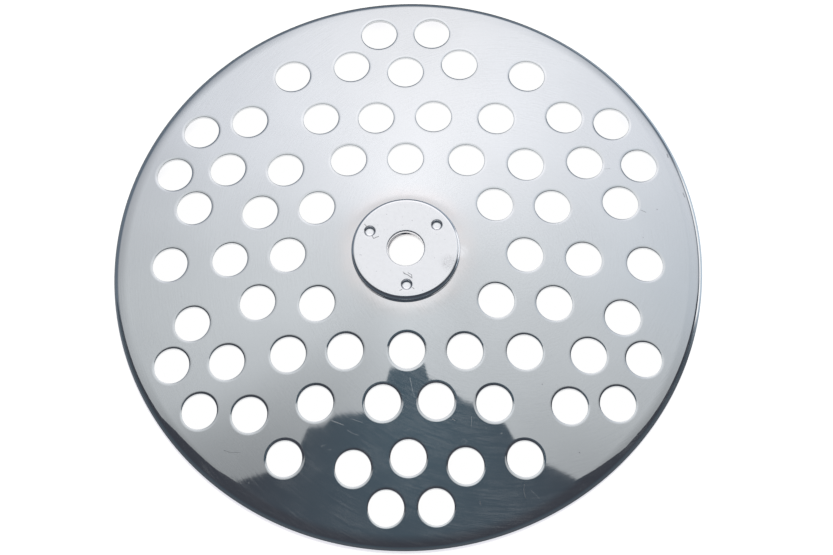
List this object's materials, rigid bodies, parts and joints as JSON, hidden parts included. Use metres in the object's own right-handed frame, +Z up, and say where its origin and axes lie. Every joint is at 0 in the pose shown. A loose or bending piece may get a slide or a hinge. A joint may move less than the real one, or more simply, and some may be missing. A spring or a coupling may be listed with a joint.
{
  "type": "food mill sieve disc",
  "caption": "Shallow domed sieve disc of stainless sheet with round holes, a turned-down rim and a thick hub washer with a bore welded on its crown.",
  "frame": {"origin": "on the disc's axis, in the plane of the rim's foot", "axes": "+Z up along the bore, from the rim's foot to the hub; +X and +Y across the disc, with a hole of the inner middle row on each side along Y"},
  "size_m": [0.1326, 0.1326, 0.0146],
  "materials": {
    "stainless_sheet": "polished stainless sheet with fine brushed grain and hair scratches",
    "stainless_washer": "satin stainless washer"
  },
  "bodies": {
    "root": {"sieve_plate": "stainless_sheet", "hub_washer": "stainless_washer"}
  },
  "joints": []
}
